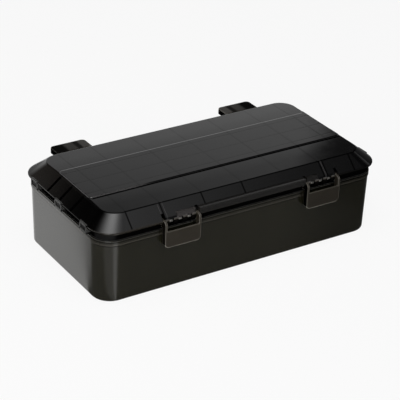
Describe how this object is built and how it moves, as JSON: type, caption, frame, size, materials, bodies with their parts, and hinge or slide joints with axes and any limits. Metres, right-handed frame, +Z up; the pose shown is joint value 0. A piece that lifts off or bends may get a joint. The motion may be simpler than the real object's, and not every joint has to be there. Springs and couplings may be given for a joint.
{
  "type": "tackle box",
  "caption": "Flat rectangular tackle box with a chamfered smoked lid, snap latches on both long sides and a divided tub.",
  "frame": {"origin": "middle of the tub's flat underside", "axes": "+X along the length to the right seen from the front, +Y to the rear, +Z up"},
  "size_m": [0.3468, 0.1985, 0.0963],
  "materials": {
    "tub": "fine satin moulded",
    "lid": "smoked, polished",
    "seal": "matt",
    "latch": "satin",
    "pin": "drawn wire",
    "divider": "satin"
  },
  "bodies": {
    "tub": {"tub": "tub", "long_divider": "divider", "front_cross_divider_1": "divider", "front_cross_divider_2": "divider", "front_cross_divider_3": "divider", "front_cross_divider_4": "divider", "front_cross_divider_5": "divider", "rear_cross_divider_1": "divider", "rear_cross_divider_2": "divider", "rear_cross_divider_3": "divider", "rear_cross_divider_4": "divider", "rear_cross_divider_5": "divider"},
    "lid": {"lid": "lid", "lid_seal": "seal", "front_left_pin": "pin", "front_right_pin": "pin", "rear_left_pin": "pin", "rear_right_pin": "pin"},
    "front_left_latch": {"front_left_latch": "latch"},
    "front_right_latch": {"front_right_latch": "latch"},
    "rear_left_latch": {"rear_left_latch": "latch"},
    "rear_right_latch": {"rear_right_latch": "latch"}
  },
  "joints": [
    {"name": "lid_hinge", "type": "hinge", "parent": "tub", "child": "lid", "pos_m": [0, -0.082, 0.077], "axis": [1, 0, 0], "range_deg": [0, 90]},
    {"name": "front_left_latch_hinge", "type": "hinge", "parent": "tub", "child": "front_left_latch", "pos_m": [-0.08, -0.082, 0.077], "axis": [1, 0, 0], "range_deg": [-100, 0]},
    {"name": "front_right_latch_hinge", "type": "hinge", "parent": "tub", "child": "front_right_latch", "pos_m": [0.0936, -0.082, 0.077], "axis": [1, 0, 0], "range_deg": [-100, 0]},
    {"name": "rear_left_latch_hinge", "type": "hinge", "parent": "lid", "child": "rear_left_latch", "pos_m": [-0.1073, 0.082, 0.077], "axis": [1, 0, 0], "range_deg": [-90, 10]},
    {"name": "rear_right_latch_hinge", "type": "hinge", "parent": "lid", "child": "rear_right_latch", "pos_m": [0.1073, 0.082, 0.077], "axis": [1, 0, 0], "range_deg": [-90, 10]}
  ]
}
